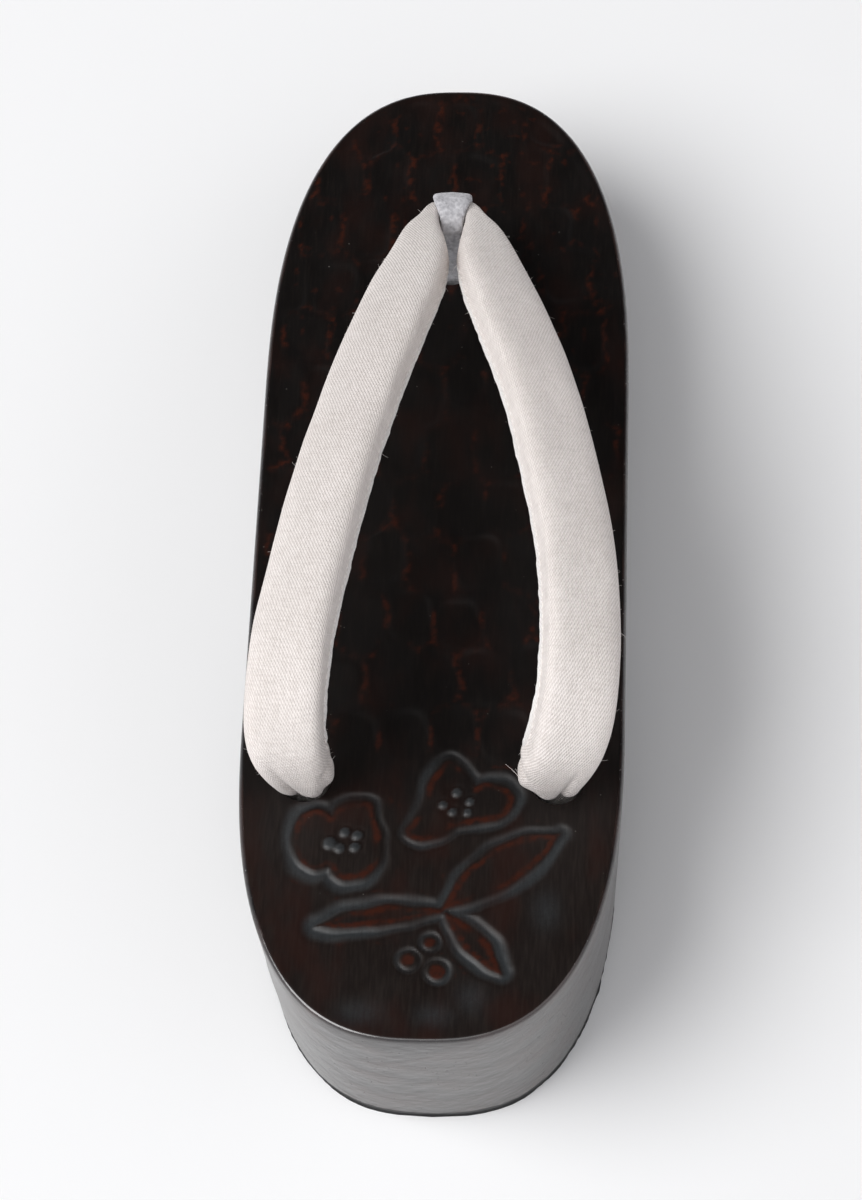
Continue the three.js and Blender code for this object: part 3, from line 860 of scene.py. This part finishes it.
def arm_frame(side, share):
    """Middle of the arm, its directions across and up, its width, thickness and height over the deck."""
    height, wide, thick, tilt = smooth_rows(STRAP_ROWS, share)[3:]
    along = arm_middle(side, min(share + 0.001, 1.0)) - arm_middle(side, max(share - 0.001, 0.0))
    along.normalize()
    across = Vector((1.0, 0.0, 0.0))
    across = (across - along * across.dot(along)).normalized()
    lift = across.cross(along)
    middle = arm_middle(side, share)
    wide *= 1.0 - ARM_TRIM[side] * float(soft_step(8.0, 20.0, height) * soft_step(64.0, 50.0, middle.y))
    turn = math.radians(side * tilt) + STRAP_ROLL * float(soft_step(0.0, ROLL_HEIGHT, height))
    spin = Matrix.Rotation(turn, 3, along)
    return middle, spin @ across, spin @ lift, float(wide), float(thick), float(height)


arm_length = {}
for side in (-1, 1):
    spots = [arm_middle(side, step / ARM_STEPS) for step in range(ARM_STEPS + 1)]
    gaps = [(b - a).length for a, b in zip(spots, spots[1:])]
    arm_length[side] = np.concatenate([[0.0], np.cumsum(gaps)])


def distance_at(side, share):
    """How far along the arm a share of its rows is."""
    return float(np.interp(share * ARM_STEPS, np.arange(ARM_STEPS + 1), arm_length[side]))


print("arms are", round(arm_length[-1][-1]), "and", round(arm_length[1][-1]), "mm long")

# %% [markdown]
# ## Carrying a section along a run
# Strap, lining, loop and fibres are all a closed section carried along a line. A circle of vertices is
# extruded once for each step and laid on the next section. Every vertex remembers its place round the
# section and along the run, which becomes the UV map for the cloth.

# %% Loft by repeated extrusion
def turns(count, start=0.0):
    """Even angles once round."""
    return [2 * math.pi * index / count + start for index in range(count)]


def round_distances(section):
    """Distance round a closed section from its first point, with 0 opposite that point."""
    steps = [(b - a).length for a, b in zip(section, section[1:] + section[:1])]
    total = sum(steps)
    return [sum(steps[:index]) - total / 2 for index in range(len(section))] + [total / 2]


def loft(shape, sections, distances, hand=1):
    """Carry a ring through sections, lists of points, and map it in millimetres; hand -1 mirrors the map."""
    around = shape.verts.layers.int.get("around") or shape.verts.layers.int.new("around")
    along = shape.verts.layers.int.get("along") or shape.verts.layers.int.new("along")
    weave = shape.loops.layers.uv.get("weave") or shape.loops.layers.uv.new("weave")
    sides = len(sections[0])
    rounds = [round_distances(section) for section in sections]
    ring = bmesh.ops.create_circle(shape, segments=sides, radius=1.0, cap_ends=False)["verts"]
    for index, vertex in enumerate(ring):
        vertex[around] = index
        vertex[along] = 0
        vertex.co = sections[0][index]
    first_edges = edges = list(dict.fromkeys(edge for vertex in ring for edge in vertex.link_edges))
    for step in range(1, len(sections)):
        made = bmesh.ops.extrude_edge_only(shape, edges=edges)["geom"]
        for vertex in made_verts(made):
            vertex.co = sections[step][vertex[around]]
            vertex[along] = step
        for face in (item for item in made if isinstance(item, bmesh.types.BMFace)):
            places = [loop.vert[around] for loop in face.loops]
            wraps = max(places) - min(places) > 1
            for loop, place in zip(face.loops, places):
                at = loop.vert[along]
                loop[weave].uv = (hand * rounds[at][sides if wraps and place == 0 else place], distances[at])
        edges = made_rim(made)
    bmesh.ops.edgeloop_fill(shape, edges=first_edges)
    bmesh.ops.edgeloop_fill(shape, edges=edges)


# %% [markdown]
# ## The padded strap
# The strap is a cotton tube stuffed with cord, and its section is a soft rectangle. The cloth is gathered
# where it goes down the rear holes, so folds fan out above them, and small puckers follow the seam on the
# inner lower edge. A simulation would lose such small folds, so they are pressed in.

# %% Folds and puckers of the cloth
STRAP_SIDES = 112
TIP_SHARE = 0.95
TAIL_PINCH = 0.32
TAIL_FORWARD = 2.2
# Angles are in degrees round the section: 0 is the outer side, 90 the back or top, 180 the inner side.
# angle at the hole, angle at the top, wide, depth, height where it starts and where it has faded
STRAP_FOLDS = {
    -1: [(85, 77, 5, 1.3, -1.0, 17.0), (88, 80, 14, 0.4, -1.0, 19.0), (140, 150, 14, 0.4, -2.0, 6.0),
         (30, 20, 14, 0.4, -2.0, 7.0), (215, 205, 14, 0.5, -2.0, 10.0), (300, 300, 18, 0.4, -3.0, 8.0)],
    1: [(86, 78, 5, 1.2, -1.0, 16.0), (84, 76, 14, 0.4, -1.0, 18.0), (130, 124, 16, 0.35, -2.0, 7.0),
        (25, 30, 14, 0.4, -2.0, 7.0), (215, 205, 14, 0.5, -2.0, 10.0), (300, 300, 18, 0.4, -3.0, 8.0)],
}
# angle, height over the deck, wide, tall, swell
STRAP_LOBES = {
    -1: [(95, 2.0, 50, 2.6, 1.1), (52, 4.0, 20, 4.0, 0.4), (112, 5.0, 18, 5.0, 0.5),
         (172, 6.5, 24, 2.6, 1.1), (160, 10.6, 24, 0.9, -0.9)],
    1: [(95, 2.0, 50, 2.6, 0.9), (58, 3.5, 16, 4.0, 0.35), (106, 4.5, 18, 5.0, 0.45),
        (176, 7.0, 26, 2.4, 1.3), (172, 10.6, 24, 0.9, -1.0), (178, 13.2, 24, 1.6, 0.5)],
}


def off_angle(angle, centre):
    """How far two directions differ, in degrees from -180 to 180."""
    return (math.degrees(angle) - centre + 180.0) % 360.0 - 180.0


def gathered(side, angle, height):
    """How far the gathered cloth stands out above its hole, with the folds pressed in."""
    out = 0.0
    for at_hole, at_top, wide, depth, start, fade in STRAP_FOLDS[side]:
        rise = min(max((height - start) / (fade - start), 0.0), 1.0)
        centre = at_hole + (at_top - at_hole) * rise
        strength = (1.0 - rise) ** 0.7 * float(soft_step(start - 3.0, start + 1.0, height))
        out -= depth * strength * math.exp(-(off_angle(angle, centre) / wide) ** 2)
    for centre, middle, wide, tall, swell in STRAP_LOBES[side]:
        out += swell * math.exp(-(off_angle(angle, centre) / wide) ** 2 - ((height - middle) / tall) ** 2)
    return out * float(soft_step(-1.5, 0.8, height))


def rounded(value, power):
    """Cosine or sine of an angle, pushed out from a circle to a rounded rectangle."""
    return math.copysign(abs(value) ** (2 / power), value)


def strap_section(side, share):
    middle, across, lift, wide, thick, height = arm_frame(side, share)
    distance = distance_at(side, share)
    thick *= 1.0 - TAIL_PINCH * float(soft_step(6.0, 0.0, height))
    middle.y += TAIL_FORWARD * float(soft_step(0.5, -2.0, height))
    formed = float(soft_step(2.0, 14.0, height))
    tip = max((share - TIP_SHARE) / (1.0 - TIP_SHARE), 0.0)
    shrink = math.sqrt(max(1.0 - tip ** 2.5, 0.02))
    free = float(soft_step(0.0, 8.0, height) * soft_step(74.0, 60.0, middle.y))
    points = []
    for angle in turns(STRAP_SIDES, -math.pi / 2):
        cosine, sine = math.cos(angle), math.sin(angle)
        full_power = INNER_POWER if -side * cosine > 0 else OUTER_POWER
        power = TAIL_POWER + (full_power - TAIL_POWER) * formed
        outer_angle = angle if side > 0 else math.pi - angle
        inner = max(-side * cosine, 0.0)
        swell = 0.2 * noise.noise((distance / 13.0, angle * 1.1, 5.0 * side))
        pucker = 0.16 * noise.noise((distance / 2.6, 4.0, side)) * inner ** 2 * max(0.8 - sine, 0.0)
        push = (swell + pucker) * free + gathered(side, outer_angle, height)
        out = across * (rounded(cosine, power) * (wide / 2 + push))
        out += lift * (rounded(sine, power) * (thick / 2 + push))
        points.append(middle + out * shrink)
    return points


JOIN_Y, JOIN_HEIGHT, JOIN_RADIUS, JOIN_HALF, JOIN_LEAN = 72.5, 16.0, 2.2, 4.0, 0.8
JOIN_SIDES = 24
strap_shape = bmesh.new()
for side in (-1, 1):
    sections = [strap_section(side, step / ARM_STEPS) for step in range(ARM_STEPS + 1)]
    loft(strap_shape, sections, arm_length[side], -side)
join_middle = Vector((JOIN_LEAN, JOIN_Y, deck_height(FRONT_HOLE_Y) + JOIN_HEIGHT))
join_turn = Matrix.Translation(join_middle) @ Matrix.Rotation(math.pi / 2, 4, "Y")
bmesh.ops.create_cone(strap_shape, cap_ends=True, segments=JOIN_SIDES, radius1=JOIN_RADIUS,
                      radius2=JOIN_RADIUS, depth=2 * JOIN_HALF, matrix=join_turn)

# %% [markdown]
# ## The strap's cloth
# The cover is an off-white cotton twill. Its diagonal lines follow the strap, so they are drawn on the UV
# map, which runs in millimetres round and along each arm and is mirrored on the right one, as the cloth
# is. Slubs, a faint yellowing and fuzz keep it from looking printed.

# %% Off-white twill
TWILL_PITCH = 0.57


def cloth_finish(name, light, shade, relief):
    finish = Finish(name, {"Sheen Weight": 0.2, "Sheen Roughness": 0.5, "Specular IOR Level": 0.15})
    weave = finish.node("ShaderNodeUVMap", {"uv_map": "weave"}, {}).outputs[0]
    place = finish.millimetres()
    round_way, long_way = finish.axis(weave, "X"), finish.axis(weave, "Y")
    wander = finish.cloud(place, 6.0, 2.0) * 0.5
    turn = 2 * math.pi / TWILL_PITCH
    diagonal = ((round_way * 0.82 - long_way * 0.57 + wander) * turn).sine()
    crossing = ((round_way * 1.11 + long_way * 0.51 + wander) * turn).sine()
    slubs = finish.cloud(weave, 0.45, 3.0, (1.0, 0.12, 1.0))
    cross_slubs = finish.cloud(weave, 0.45, 3.0, (0.12, 1.0, 1.0))
    fuzz = finish.cloud(place, 0.3, 2.0)
    tone = finish.cloud(place, 18.0, 2.0)
    lines = 0.5 + 0.3 * diagonal + 0.16 * crossing
    grain = slubs.ramp(0.35, 0.7) * 0.5 + cross_slubs.ramp(0.35, 0.7) * 0.5
    dark = (1 - lines) * 0.55 + grain * 0.3 + tone.ramp(0.3, 0.8) * 0.1
    finish.feed("Base Color", finish.mix(dark, light, shade))
    finish.feed("Roughness", 0.85 + 0.1 * fuzz)
    finish.bump(lines + fuzz * 0.5 + grain * 0.5, relief, 0.8)
    return finish


twill = cloth_finish("strap_twill", paint(249, 242, 238), paint(191, 181, 174), 0.18)
strap = make_piece("strap", strap_shape, twill)
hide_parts("hanao")

# %% [markdown]
# ## Lining and seam
# Where the whiter lining is sewn to the cover, a narrow lip of it shows along the inner edge, wider on the
# right arm. It is a thin band with a wavy edge, carried along the same run. Small stitches just above it
# catch it to the cover.

# %% Lip of lining along the inner edge
LIP_THICK = 1.1
LIP_BAND = 2.2
LIP_SIDES = 14
LIP_STEPS = 320
LIP_FROM, LIP_TO = 0.2, 0.985
# how far the lip shows at even steps from the rear end to the tip, on the left and on the right arm
LIP_SHOWS = {-1: (0.4, 0.4, 0.45, 0.45, 0.45, 0.45, 0.45, 0.4, 0.3, -0.2, 0.4, 0.5),
             1: (1.3, 0.9, 0.6, 0.5, 0.5, 0.6, 0.6, 0.5, 0.4, -0.6, -0.8, -1.0)}


def inner_edge(side, share):
    """Place on the seam at the inner edge, the directions inward and up there, and how wide the arm is."""
    middle, across, lift, wide, thick, _ = arm_frame(side, share)
    inward = across * -side
    return middle + inward * (wide / 2) - lift * (thick * 0.2), inward, lift, wide


def lip_shown(side, share):
    """How far the lip stands out from the cover."""
    run = (share - LIP_FROM) / (LIP_TO - LIP_FROM)
    distance = distance_at(side, share)
    table = LIP_SHOWS[side]
    shows = float(np.interp(run, np.linspace(0.0, 1.0, len(table)), table))
    wave = 0.22 * noise.noise((distance / 5.0, 3.0, side)) + 0.16 * noise.noise((distance / 1.7, 7.0, side))
    ends = float(soft_step(0.0, 0.06, run) * soft_step(1.0, 0.97, run))
    return (shows + wave) * ends - 1.2 * (1.0 - ends)


lining_shape = bmesh.new()
lip_shares = [LIP_FROM + (LIP_TO - LIP_FROM) * step / LIP_STEPS for step in range(LIP_STEPS + 1)]
for side in (-1, 1):
    sections = []
    for share in lip_shares:
        spot, inward, lift, wide = inner_edge(side, share)
        band = min(LIP_BAND, 0.3 * wide)
        spot += inward * (lip_shown(side, share) - band)
        sections.append([spot + inward * (band * math.cos(turn)) + lift * (LIP_THICK / 2 * math.sin(turn))
                         for turn in turns(LIP_SIDES, -math.pi / 2)])
    loft(lining_shape, sections, [distance_at(side, share) for share in lip_shares], -side)
lining_cotton = cloth_finish("lining_cotton", paint(240, 238, 236), paint(212, 207, 203), 0.1)
make_piece("strap_lining", lining_shape, lining_cotton)

# %% Stitches along the lip
STITCH_PITCH = 2.4
STITCH_SIZE = (0.2, 0.62, 0.16)

stitch_shape = bmesh.new()
stitch_count = 0
for side in (-1, 1):
    reach = distance_at(side, LIP_FROM + 0.03), distance_at(side, LIP_TO - 0.2)
    for distance in np.arange(reach[0], reach[1], STITCH_PITCH):
        share = float(np.interp(distance, arm_length[side], np.arange(ARM_STEPS + 1))) / ARM_STEPS
        spot, inward, lift, wide = inner_edge(side, share)
        along = lift.cross(inward)
        turn = Matrix((inward, along, lift)).transposed().to_4x4()
        spot += inward * 0.05 + lift * (LIP_THICK / 2 + 0.45)
        scale = Matrix.Diagonal((*STITCH_SIZE, 1.0))
        bmesh.ops.create_icosphere(stitch_shape, subdivisions=2, radius=1.0,
                                   matrix=Matrix.Translation(spot) @ turn @ scale)
        stitch_count += 1
thread = Finish("sewing_thread", {"Specular IOR Level": 0.2})
thread_twist = thread.cloud(thread.millimetres(), 0.2, 2.0)
thread.feed("Base Color", thread.mix(thread_twist, paint(252, 248, 245), paint(224, 217, 211)))
thread.feed("Roughness", 0.8 + 0.1 * thread_twist)
thread.bump(thread_twist, 0.05, 0.6)
make_piece("strap_stitches", stitch_shape, thread)
print(stitch_count, "stitches")

# %% [markdown]
# ## Stray fibres
# Short fibres stand off the cotton, and a few longer ends hang out where it was cut behind. Against the
# black deck they make the edge look soft. Each is a tapering tube of three steps, and all of them are one
# mesh.

# %% Fibres on the strap
FIBRE_COUNT = 380
FIBRE_STEPS = 3
FIBRE_SIDES = 4
FIBRE_RADIUS = 0.028
# side, share of the arm, angle in degrees, length
LOOSE_ENDS = [(1, 0.19, 172, 3.0), (1, 0.2, 160, 2.2), (1, 0.22, 178, 1.8), (-1, 0.21, 176, 1.4),
              (-1, 0.5, 178, 1.3), (1, 0.8, 186, 1.4), (1, 0.4, 4, 1.4)]
fibre_random = np.random.default_rng(11)


def grow_fibre(shape, side, share, angle, length, radius):
    """Grow one bent fibre out of the cover; angle in degrees from the outer side."""
    turn = math.radians(angle if side > 0 else 180.0 - angle) + math.pi / 2
    root = strap_section(side, share)[round(turn / (2 * math.pi) * STRAP_SIDES) % STRAP_SIDES]
    out = (root - arm_frame(side, share)[0]).normalized()
    way = (out + Vector(fibre_random.normal(0.0, 0.6, 3))).normalized()
    bend = Vector(fibre_random.normal(0.0, 0.5, 3))
    first = way.orthogonal().normalized()
    second = way.cross(first)
    reaches = [step / FIBRE_STEPS for step in range(FIBRE_STEPS + 1)]
    sections = []
    for reach in reaches:
        spot = root + (way + bend * reach) * (length * reach)
        thin = radius * (1.0 - 0.6 * reach)
        sections.append([spot + first * (thin * math.cos(at)) + second * (thin * math.sin(at))
                         for at in turns(FIBRE_SIDES)])
    loft(shape, sections, [length * reach for reach in reaches])


fibre_shape = bmesh.new()
for _ in range(FIBRE_COUNT):
    fibre_side = int(fibre_random.choice((-1, 1)))
    fibre_angle = fibre_random.choice((0.0, 180.0)) + fibre_random.normal(0.0, 28.0)
    fibre_length = fibre_random.uniform(0.25, 0.85)
    fibre_share = fibre_random.uniform(0.2, 0.95)
    grow_fibre(fibre_shape, fibre_side, fibre_share, fibre_angle, fibre_length, FIBRE_RADIUS)
for loose_side, loose_share, loose_angle, loose_length in LOOSE_ENDS:
    grow_fibre(fibre_shape, loose_side, loose_share, loose_angle, loose_length, 2 * FIBRE_RADIUS)
make_piece("strap_fibres", fibre_shape, thread)

# %% [markdown]
# ## The toe loop
# A strip of grey felt is folded over the cord that joins the two arms, and both ends go down the front
# hole. It is wide at the fold and pinched between the arms below. Its flat rounded section is carried
# along the same rows as the solid's, and noise roughens it a little.

# %% Felt loop
FELT_THICK = 2.2
FELT_SIDES = 32
FELT_STEPS, FELT_STEP_LONG = 150, 0.5
FELT_POWER = 4.0
# y from the hole's middle, height over the deck, wide
FELT_ROWS = np.array([
    (-1.3, -12.0, 6.0), (-1.3, 0.0, 6.0), (-1.4, 9.0, 5.0), (-1.4, 15.6, 4.6), (-0.2, 19.0, 4.9),
    (3.0, 20.4, 7.0), (6.2, 19.0, 8.4), (7.6, 15.8, 8.4), (6.4, 12.0, 7.0), (3.6, 8.6, 6.0),
    (1.8, 5.0, 6.0), (1.3, 0.0, 6.0), (1.3, -12.0, 6.0),
])


def felt_section(share):
    y, height, wide = smooth_rows(FELT_ROWS, share)
    ahead = smooth_rows(FELT_ROWS, min(share + 0.001, 1.0))
    behind = smooth_rows(FELT_ROWS, max(share - 0.001, 0.0))
    normal = Vector((0.0, behind[1] - ahead[1], ahead[0] - behind[0])).normalized()
    lean = JOIN_LEAN * max(height, 0.0) / JOIN_HEIGHT
    middle = Vector((lean, FRONT_HOLE_Y + y, deck_height(FRONT_HOLE_Y) + height))
    points = []
    for angle in turns(FELT_SIDES):
        flat = rounded(math.cos(angle), FELT_POWER)
        high = rounded(math.sin(angle), FELT_POWER)
        point = middle + Vector((flat * wide / 2, 0.0, 0.0)) + normal * (high * FELT_THICK / 2)
        rough = 0.16 * noise.noise(point / 0.9) + 0.22 * noise.noise(point / 3.0)
        points.append(point + (point - middle).normalized() * rough)
    return points


felt_shape = bmesh.new()
felt_sections = [felt_section(step / FELT_STEPS) for step in range(FELT_STEPS + 1)]
loft(felt_shape, felt_sections, [FELT_STEP_LONG * step for step in range(FELT_STEPS + 1)])

felt = Finish("grey_felt", {"Sheen Weight": 0.35, "Sheen Roughness": 0.4, "Specular IOR Level": 0.1})
place = felt.millimetres()
matted = felt.cloud(place, 0.8, 3.0)
clumps = felt.cloud(place, 2.2, 3.0)
mottle = matted.ramp(0.25, 0.75) * 0.6 + clumps.ramp(0.3, 0.7) * 0.4
felt.feed("Base Color", felt.mix(mottle, paint(150, 149, 153), paint(212, 211, 214)))
felt.feed("Roughness", 0.9 + 0.1 * clumps)
felt.bump(matted + clumps, 0.4, 0.8)
toe_loop = make_piece("toe_loop", felt_shape, felt)
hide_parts("maetsubo")

# %% [markdown]
# ## Floor and light
# The sandal stands on a plain pale floor. Soft light comes from the lower left, so shadows fall softly to
# the upper right. The room is pale too, except ahead and above, because that is what the deck mirrors.

# %% Pale floor
FLOOR_HALF = 2600.0
floor_shape = bmesh.new()
bmesh.ops.create_grid(floor_shape, x_segments=2, y_segments=2, size=FLOOR_HALF * MM)
floor = link_object("floor", floor_shape)
floor_paper = Finish("floor_paper", {"Roughness": 0.9, "Specular IOR Level": 0.1})
paper = floor_paper.cloud(floor_paper.millimetres(), 260.0, 2.0)
floor_paper.feed("Base Color", floor_paper.mix(paper, paint(247, 247, 247), paint(250, 250, 250)))
floor.data.materials.append(floor_paper.material)

# %% Soft lamps, and a pale room that is dark where the deck mirrors it
DECK_MIRRORS = (0.0, 0.47, 0.88)
PALE_UNTIL = (0.5, (0.5, 0.5, 0.52, 1.0))
DARK_FROM = (0.85, (0.02, 0.02, 0.022, 1.0))
ROOM_STRENGTH = 1.2


def soft_lamp(name, spot, aim, wide, power):
    lamp = bpy.data.objects.new(name, bpy.data.lights.new(name, "AREA"))
    lamp.data.shape = "DISK"
    lamp.data.size = wide * MM
    lamp.data.energy = power
    lamp.location = Vector(spot) * MM
    lamp.rotation_mode = "QUATERNION"
    lamp.rotation_quaternion = (Vector(aim) - Vector(spot)).to_track_quat("-Z", "Y")
    bpy.context.collection.objects.link(lamp)


soft_lamp("window", (-1700, -700, 2300), (0, 0, 0), 2400, 68.0)
soft_lamp("reflector", (1700, -600, 2300), (0, 0, 0), 2200, 4.0)
soft_lamp("overhead", (-150, -900, 2400), (0, 0, 0), 1900, 8.0)

world = bpy.data.worlds.new("studio")
world.use_nodes = True
bpy.context.scene.world = world
world_nodes = world.node_tree.nodes
world_links = world.node_tree.links
direction = world_nodes.new("ShaderNodeTexCoord").outputs["Generated"]
seen_in_deck = world_nodes.new("ShaderNodeVectorMath")
seen_in_deck.operation = "DOT_PRODUCT"
seen_in_deck.inputs[1].default_value = DECK_MIRRORS
world_links.new(direction, seen_in_deck.inputs[0])
sky = world_nodes.new("ShaderNodeValToRGB")
for element, (position, colour) in zip(sky.color_ramp.elements, (PALE_UNTIL, DARK_FROM)):
    element.position = position
    element.color = colour
world_links.new(seen_in_deck.outputs["Value"], sky.inputs[0])
world_links.new(sky.outputs[0], world_nodes["Background"].inputs["Color"])
world_nodes["Background"].inputs["Strength"].default_value = ROOM_STRENGTH
bpy.context.scene.view_settings.view_transform = "Standard"
print("floor, three lamps and a pale room, dark where the deck mirrors it")
